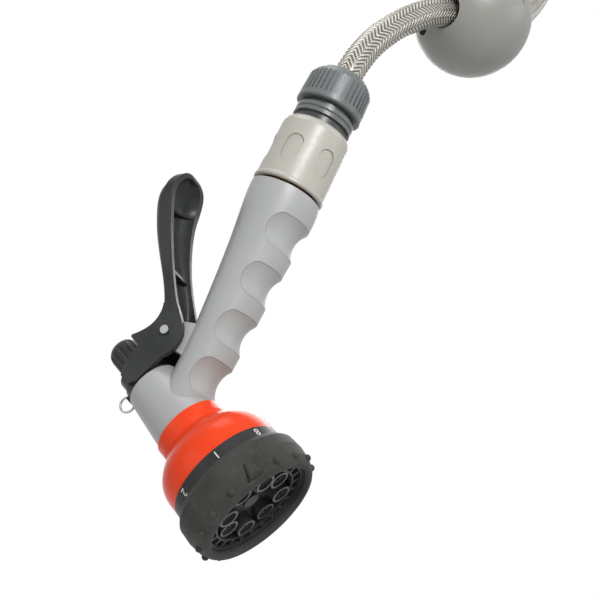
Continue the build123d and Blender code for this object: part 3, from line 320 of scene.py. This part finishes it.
def braid(name, radius, pitch, columns):
    """Stainless wire braid under a clear PVC cover: chevrons of fine wires, with painted shade
    darkening the gaps between them.
    """
    made, tree, shader = material(name)
    column = 2.0 * math.pi * radius / columns
    sheet = add(tree, "ShaderNodeUVMap", uv_map="around")
    uv = add(tree, "ShaderNodeSeparateXYZ", {0: sheet.outputs["UV"]})
    zigzag = add(tree, "ShaderNodeMath", {0: uv.outputs["X"], 1: column}, operation="PINGPONG")
    slant = add(tree, "ShaderNodeMath", {0: zigzag.outputs[0], 1: BRAID_SLOPE, 2: uv.outputs["Y"]},
                operation="MULTIPLY_ADD")
    phase = add(tree, "ShaderNodeMath", {0: slant.outputs[0], 1: pitch}, operation="DIVIDE")
    stroke = add(tree, "ShaderNodeMath", {0: phase.outputs[0]}, operation="FRACT")
    ridge = add(tree, "ShaderNodeMath", {0: stroke.outputs[0], 1: 0.5}, operation="PINGPONG")
    foot, crest = BRAID_SIDE
    ridge = add(tree, "ShaderNodeMapRange", {"Value": ridge.outputs[0], "From Min": foot,
                                             "From Max": crest}, interpolation_type="SMOOTHSTEP")
    # the wires of a stroke, as fine ripples across it; their dips also darken the colour below as
    # painted shade between the wires
    wires = add(tree, "ShaderNodeMath", {0: phase.outputs[0], 1: 2.0 * math.pi * BRAID_WIRES},
                operation="MULTIPLY")
    wires = add(tree, "ShaderNodeMath", {0: wires.outputs[0]}, operation="SINE")
    wires = add(tree, "ShaderNodeMath", {0: wires.outputs[0], 1: 0.14, 2: 0.86},
                operation="MULTIPLY_ADD")
    # strokes dive under their neighbours where two columns meet, and the colour is darkened there with
    # painted shade
    place = add(tree, "ShaderNodeMath", {0: uv.outputs["X"], 1: column}, operation="DIVIDE")
    place = add(tree, "ShaderNodeMath", {0: place.outputs[0]}, operation="FRACT")
    place = add(tree, "ShaderNodeMath", {0: place.outputs[0], 1: 0.5}, operation="PINGPONG")
    dive = add(tree, "ShaderNodeMapRange", {"Value": place.outputs[0], "From Min": 0.0,
                                            "From Max": 0.2, "To Min": 0.35, "To Max": 1.0},
               interpolation_type="SMOOTHSTEP")
    height_and_painted_shade = add(tree, "ShaderNodeMath", {0: ridge.outputs["Result"], 1: dive.outputs["Result"]},
               operation="MULTIPLY")
    height_and_painted_shade = add(tree, "ShaderNodeMath", {0: height_and_painted_shade.outputs[0], 1: wires.outputs[0]}, operation="MULTIPLY")
    where = add(tree, "ShaderNodeTexCoord").outputs["Object"]
    patch = add(tree, "ShaderNodeTexNoise", {"Vector": where, "Scale": 1.0 / WIRE_PATCH,
                                             "Detail": 3.0})
    wire = add(tree, "ShaderNodeMix", {0: patch.outputs["Fac"], 6: linear("#B5AFA3"),
                                       7: linear("#EBE8E1")}, data_type="RGBA")
    # painted shade: the colour follows the braid's height, from dark #544F47 in the low gaps between
    # strokes, between wires and where strokes dive, up to the wire's own colour on the crests
    tone = add(tree, "ShaderNodeMix", {0: height_and_painted_shade.outputs[0], 6: linear("#544F47"), 7: wire.outputs[2]},
               data_type="RGBA")
    bump = add(tree, "ShaderNodeBump", {"Strength": 1.0, "Distance": BRAID_RELIEF,
                                        "Height": height_and_painted_shade.outputs[0]})
    tree.links.new(tone.outputs[2], shader.inputs["Base Color"])
    tree.links.new(bump.outputs["Normal"], shader.inputs["Normal"])
    shader.inputs["Metallic"].default_value = 0.45
    shader.inputs["Roughness"].default_value = 0.38
    shader.inputs["Coat Weight"].default_value = 0.55
    shader.inputs["Coat Roughness"].default_value = 0.12
    return made


# ---------------------------------------------------------------- makers
def link(data, name):
    """A new object in the scene for a mesh, curve, lamp or camera."""
    made = bpy.data.objects.new(name, data)
    bpy.context.scene.collection.objects.link(made)
    return made


def nurbs_line(name, points):
    """The hose's centreline as a NURBS curve with no thickness."""
    curve = bpy.data.curves.new(name, "CURVE")
    curve.dimensions = "3D"
    curve.resolution_u = LINE_STEPS
    spline = curve.splines.new("NURBS")
    spline.points.add(len(points) - 1)
    for point, place in zip(spline.points, points):
        point.co = (*place, 1.0)
    spline.order_u = 3
    spline.use_endpoint_u = True
    return link(curve, name)


def line_points(line):
    """Points along a curve, read from Blender's own evaluation of it."""
    mesh = bpy.data.meshes.new_from_object(line)
    points = [vertex.co.copy() for vertex in mesh.vertices]
    bpy.data.meshes.remove(mesh)
    return points


def even_points(points, step):
    """The same line in steps of equal length."""
    far = [0.0]
    for before, after in zip(points, points[1:]):
        far.append(far[-1] + (after - before).length)
    count = round(far[-1] / step)
    result = []
    index = 0
    for number in range(count + 1):
        goal = far[-1] * number / count
        while index < len(far) - 2 and far[index + 1] < goal:
            index += 1
        share = (goal - far[index]) / max(far[index + 1] - far[index], 1e-9)
        result.append(points[index].lerp(points[index + 1], min(share, 1.0)))
    return result, far[-1]


def tube(name, points, radius, around):
    """A tube swept along points, with a UV map in metres round and along it."""
    mesh = bpy.data.meshes.new(name)
    made = bmesh.new()
    along = made.verts.layers.float.new("along")
    turn = made.verts.layers.float.new("turn")
    ring = bmesh.ops.create_circle(made, segments=around, radius=radius)["verts"]
    for number, vertex in enumerate(ring):
        vertex[turn] = number
    edges = list(made.edges)
    heading = (points[1] - points[0]).normalized()
    stand = Vector((0.0, 0.0, 1.0)).rotation_difference(heading).to_matrix().to_4x4()
    bmesh.ops.transform(made, matrix=Matrix.Translation(points[0]) @ stand, verts=ring)
    far = 0.0
    for index in range(1, len(points)):
        after = points[min(index + 1, len(points) - 1)]
        new_heading = (after - points[index - 1]).normalized()
        step = bmesh.ops.extrude_edge_only(made, edges=edges)["geom"]
        ring = [item for item in step if isinstance(item, bmesh.types.BMVert)]
        edges = [item for item in step if isinstance(item, bmesh.types.BMEdge)]
        swing = heading.rotation_difference(new_heading).to_matrix().to_4x4()
        move = Matrix.Translation(points[index]) @ swing @ Matrix.Translation(-points[index - 1])
        bmesh.ops.transform(made, matrix=move, verts=ring)
        far += (points[index] - points[index - 1]).length
        for vertex in ring:
            vertex[along] = far
        heading = new_heading
    bmesh.ops.recalc_face_normals(made, faces=made.faces)
    sheet = made.loops.layers.uv.new("around")
    width = 2.0 * math.pi * radius / around
    for face in made.faces:
        face.smooth = True
        # a face across the seam joins the last column to the first, so the first counts as one more
        turns = [loop.vert[turn] for loop in face.loops]
        wraps = max(turns) - min(turns) > 1.5
        for loop in face.loops:
            count = loop.vert[turn]
            if wraps and count < 0.5:
                count = around
            loop[sheet].uv = (count * width, loop.vert[along])
    made.to_mesh(mesh)
    made.free()
    return link(mesh, name)


def make_hose(settings):
    """The braided hose in place of its plain CAD piece, hanging on the supply side."""
    line = nurbs_line("hose_line", HOSE_ROUTE)
    points, length = even_points(line_points(line), HOSE_STEP)
    bpy.data.objects.remove(line)
    hose = tube("braided_hose", points, settings.radius, settings.around)
    hose.data.materials.append(braid("Stainless braid under clear PVC", settings.radius,
                                     settings.pitch, settings.columns))
    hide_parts("hose")
    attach(hose, "supply")


def make_numerals(settings):
    """Plain numerals printed on the band behind the dial, one for each spray pattern."""
    whole = bmesh.new()
    for index in range(settings.count):
        text = bpy.data.curves.new("numeral", "FONT")
        text.body = str(index + 1)
        text.size = settings.height * FONT_SIZE
        text.align_x = "CENTER"
        text.align_y = "CENTER"
        text.extrude = INK
        holder = link(text, "numeral")
        mesh = bpy.data.meshes.new_from_object(holder)
        bpy.data.objects.remove(holder)
        start = math.radians(settings.first - 360.0 / settings.count * index)
        for vertex in mesh.vertices:
            x, y, z = vertex.co
            angle = start - x / settings.band
            out = BARREL_UP * math.cos(angle) + SIDE * math.sin(angle)
            vertex.co = GUN + BARREL * (settings.middle + y) + out * (settings.band + INK_GAP + z)
        whole.from_mesh(mesh)
        bpy.data.meshes.remove(mesh)
    mesh = bpy.data.meshes.new("band_numerals")
    whole.to_mesh(mesh)
    whole.free()
    numerals = link(mesh, "band_numerals")
    numerals.data.materials.append(moulded("Pad-printed pale ink", "#D6D8D6", 0.5, 0.0004, 0.00001))
    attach(numerals, "gun")


def seen(tree):
    """1 for rays from the camera, seen directly, in a mirror finish or through a clear one."""
    path = add(tree, "ShaderNodeLightPath")
    both = add(tree, "ShaderNodeMath", {0: path.outputs["Is Camera Ray"],
                                        1: path.outputs["Is Glossy Ray"]}, operation="ADD")
    both = add(tree, "ShaderNodeMath", {0: both.outputs[0], 1: path.outputs["Is Transmission Ray"]},
               operation="ADD", use_clamp=True)
    return both.outputs[0]


def make_stage(settings):
    """Floor, world, camera and lamps."""
    scene = bpy.context.scene
    floor = bmesh.new()
    bmesh.ops.create_grid(floor, x_segments=1, y_segments=1, size=FLOOR_REACH)
    bmesh.ops.translate(floor, vec=(0.0, 0.0, settings.floor), verts=floor.verts)
    mesh = bpy.data.meshes.new("floor")
    floor.to_mesh(mesh)
    floor.free()
    plane = link(mesh, "floor")
    made, tree, shader = material("Pale seamless paper")
    shader.inputs["Base Color"].default_value = linear("#F4F4F2")
    shader.inputs["Roughness"].default_value = 0.9
    # seen directly it is nearly white, and keeps a faint shadow
    share = add(tree, "ShaderNodeMath", {0: seen(tree), 1: FLOOR_GLOW}, operation="MULTIPLY")
    glow = add(tree, "ShaderNodeEmission", {"Color": (1.0, 1.0, 1.0, 1.0), "Strength": 1.0})
    mix = add(tree, "ShaderNodeMixShader", {0: share.outputs[0], 1: shader.outputs["BSDF"],
                                            2: glow.outputs[0]})
    tree.links.new(mix.outputs[0], tree.nodes["Material Output"].inputs["Surface"])
    mesh.materials.append(made)
    world = bpy.data.worlds.new("Soft studio")
    scene.world = world
    world.use_nodes = True
    tree = world.node_tree
    tree.nodes.clear()
    room = add(tree, "ShaderNodeBackground", {"Color": (0.96, 0.98, 1.0, 1.0), "Strength": 0.15})
    white = add(tree, "ShaderNodeBackground", {"Color": (1.0, 1.0, 1.0, 1.0), "Strength": 1.0})
    mix = add(tree, "ShaderNodeMixShader", {0: seen(tree), 1: room.outputs[0], 2: white.outputs[0]})
    add(tree, "ShaderNodeOutputWorld", {"Surface": mix.outputs[0]})
    camera = bpy.data.cameras.new("camera")
    camera.lens = CAMERA_LENS
    camera.sensor_width = CAMERA_SENSOR
    camera.clip_start = CAMERA_NEAR
    eye = link(camera, "camera")
    right = Vector(CAMERA_RIGHT).normalized()
    back = Vector(CAMERA_BACK).normalized()
    right = (right - back * right.dot(back)).normalized()
    up = back.cross(right)
    turn = Matrix((right, up, back)).transposed().to_4x4()
    eye.matrix_world = Matrix.Translation(settings.place) @ turn
    for name, across, over, near, size, share in LAMPS:
        light = bpy.data.lights.new(name, "AREA")
        light.size = size
        light.energy = settings.lamp * share
        lamp = link(light, name)
        lamp.location = GUN_MIDDLE + right * across + up * over + back * near
        lamp.rotation_euler = (GUN_MIDDLE - lamp.location).to_track_quat("-Z", "Y").to_euler()
    scene.camera = eye
    scene.view_settings.view_transform = "Standard"


# ---------------------------------------------------------------- operators
class SPRAY_OT_gun_body(bpy.types.Operator):
    """Finish the grey handle and barrel moulding"""

    bl_idname = "spray.gun_body"
    bl_label = "Handle and barrel"

    def execute(self, context):
        look = context.scene.gun_finish
        # Grey ABS with a spark-eroded skin: soft broad highlights and no sparkle.
        paint(moulded("Grey ABS, spark-eroded", look.handle, 0.40, look.grain, 0.00005, 0.05,
                      relief=grip_edges), "gun_body")
        return {"FINISHED"}


class SPRAY_OT_lever(bpy.types.Operator):
    """Finish the lever with its pin"""

    bl_idname = "spray.lever"
    bl_label = "Lever"

    def execute(self, context):
        look = context.scene.gun_finish
        # Charcoal acetal, half gloss: a soft line of light along its rims.
        paint(moulded("Charcoal acetal, half gloss", look.lever, 0.32, look.grain, 0.00003, 0.04,
                      shine=0.18), "lever")
        # Bright zinc on the rivet: small and mirror-like beside the plastic.
        paint(machined("Bright zinc steel", "#AFB0B1", 0.22), "pivot_pin", "trunnion_pin",
              "ball_screws", "ball_nuts", "plate_screws", "centre_screw", "screw_washer",
              "detent_ball", "pin_retainer")
        return {"FINISHED"}


class SPRAY_OT_valve(bpy.types.Operator):
    """Finish the valve, its gland and the flow knob"""

    bl_idname = "spray.valve"
    bl_label = "Valve and flow knob"

    def execute(self, context):
        look = context.scene.gun_finish
        # Black nylon as moulded: darker than the lever, with a tighter highlight.
        paint(moulded("Black nylon, moulded", "#181A19", 0.28, look.grain, 0.00003, shine=0.15),
              "flow_knob", "gland_nut", "draw_collar")
        # Turned brass where water runs: warm metal with fine rings.
        paint(machined("Turned brass", "#C9A35E", 0.28), "valve_stem", "packing_washer",
              "inlet_plug")
        # Drawn wire: softer gleam than the zinc.
        paint(machined("Spring steel wire", "#A9AAAC", 0.30), "hanging_ring", "return_spring",
              "sleeve_spring", "detent_spring", "plug_clip", "snap_ring", "locking_ring")
        # Nitrile rubber: near black, with almost no highlight.
        paint(moulded("Nitrile rubber", "#191919", 0.62, look.grain, 0.00004), "stem_oring",
              "valve_plug", "port_seal", "inlet_oring", "supply_oring", "ball_liner")
        # Dark nylon inside, as moulded.
        paint(moulded("Dark nylon, inner parts", "#3A3B3B", 0.42, look.grain, 0.00003), "valve_seat",
              "port_plate", "dial_back", "hose_collet", "supply_collet")
        return {"FINISHED"}


class SPRAY_OT_head(bpy.types.Operator):
    """Finish the orange bell, its band and the dial"""

    bl_idname = "spray.head"
    bl_label = "Spray head"

    def execute(self, context):
        look = context.scene.gun_finish
        # Orange ABS off a polished mould: sharp long highlights on a clean colour.
        paint(moulded("Orange ABS, polished", look.bell, 0.22, 0.0009, 0.00001, 0.03, coat=0.03,
                      shine=0.12), "bell_cover")
        # Printed black on smooth plastic: flat and even, so that the numerals read.
        paint(moulded("Black printed band", "#17181B", 0.36, look.grain, 0.00001, shine=0.12),
              "label_band")
        # Soft-touch rubber: dull, with a faint dust in patches.
        paint(moulded("Soft-touch rubber", look.dial, 0.58, look.grain, 0.00006, 0.06, wear=0.08,
                      shine=0.12), "dial_grip")
        # Moulded nylon: half gloss, so the recessed face keeps some light.
        paint(moulded("Charcoal nylon, dial face", "#1F2123", 0.38, look.grain, 0.00003, 0.05,
                      shine=0.22), "nozzle_face", "face_plug")
        # Smoother nylon: each insert's rim catches a small bright line.
        paint(moulded("Grey nylon, spray inserts", "#26292B", 0.28, look.grain, 0.00003, 0.05,
                      shine=0.4), "jet_insert", "shower_insert", "cone_insert", "mist_insert",
              "flat_insert", "centre_insert", "soaker_insert", "full_insert")
        return {"FINISHED"}


class SPRAY_OT_coupling(bpy.types.Operator):
    """Finish the hose coupling and the plug at the hose's other end"""

    bl_idname = "spray.coupling"
    bl_label = "Coupling and plug"

    def execute(self, context):
        look = context.scene.gun_finish
        # Polypropylene as moulded: a slightly waxy half gloss, duller on the ribbed nuts.
        paint(moulded("Warm grey polypropylene", look.sleeve, 0.36, look.grain, 0.00003, 0.04),
              "release_sleeve")
        paint(moulded("Mid grey polypropylene", "#565B59", 0.36, look.grain, 0.00003, 0.04),
              "stop_ring")
        paint(moulded("Blue-grey polypropylene", look.nut, 0.40, look.grain, 0.00003, 0.05),
              "hose_nut", "supply_nut")
        # Black acetal: dark, with the same soft sheen.
        paint(moulded("Black acetal, coupling body", "#1A1C1C", 0.36, look.grain, 0.00003),
              "connector_body", "supply_plug")
        return {"FINISHED"}


class SPRAY_OT_ball(bpy.types.Operator):
    """Finish the stopper ball"""

    bl_idname = "spray.ball"
    bl_label = "Stopper ball"

    def execute(self, context):
        look = context.scene.gun_finish
        # Warm grey ABS, finely grained: an even sheen round the ball.
        paint(moulded("Warm grey ABS, fine grain", look.ball, 0.40, look.grain, 0.00003, 0.04),
              "ball_front", "ball_back")
        return {"FINISHED"}


class SPRAY_OT_hose(bpy.types.Operator):
    """Make the braided hose"""

    bl_idname = "spray.hose"
    bl_label = "Braided hose"

    def execute(self, context):
        make_hose(context.scene.hose_size)
        return {"FINISHED"}


class SPRAY_OT_numerals(bpy.types.Operator):
    """Print the numerals on the band behind the dial"""

    bl_idname = "spray.numerals"
    bl_label = "Numerals"

    def execute(self, context):
        make_numerals(context.scene.numeral_size)
        return {"FINISHED"}


class SPRAY_OT_stage(bpy.types.Operator):
    """Make the floor, lamps and camera"""

    bl_idname = "spray.stage"
    bl_label = "Stage"

    def execute(self, context):
        make_stage(context.scene.stage_look)
        return {"FINISHED"}


OPERATORS = (SPRAY_OT_stage, SPRAY_OT_hose, SPRAY_OT_gun_body, SPRAY_OT_lever, SPRAY_OT_valve,
             SPRAY_OT_head, SPRAY_OT_numerals, SPRAY_OT_coupling, SPRAY_OT_ball)


class SPRAY_PT_panel(bpy.types.Panel):
    """Steps that finish the spray gun"""

    bl_idname = "SPRAY_PT_panel"
    bl_label = "Spray gun"
    bl_space_type = "VIEW_3D"
    bl_region_type = "UI"
    bl_category = "Spray gun"

    def draw(self, context):
        for name in SETTINGS:
            group = getattr(context.scene, name)
            box = self.layout.box()
            for key in group.bl_rna.properties.keys():
                if key not in ("rna_type", "name"):
                    box.prop(group, key)
        for operator in OPERATORS:
            self.layout.operator(operator.bl_idname)


def register():
    for name, group in SETTINGS.items():
        bpy.utils.register_class(group)
        setattr(bpy.types.Scene, name, PointerProperty(type=group))
    for item in (*OPERATORS, SPRAY_PT_panel):
        bpy.utils.register_class(item)


def unregister():
    for item in (SPRAY_PT_panel, *reversed(OPERATORS)):
        bpy.utils.unregister_class(item)
    for name, group in SETTINGS.items():
        delattr(bpy.types.Scene, name)
        bpy.utils.unregister_class(group)


def main():
    register()
    for operator in OPERATORS:
        family, name = operator.bl_idname.split(".")
        getattr(getattr(bpy.ops, family), name)()


if __name__ == "__main__":
    main()
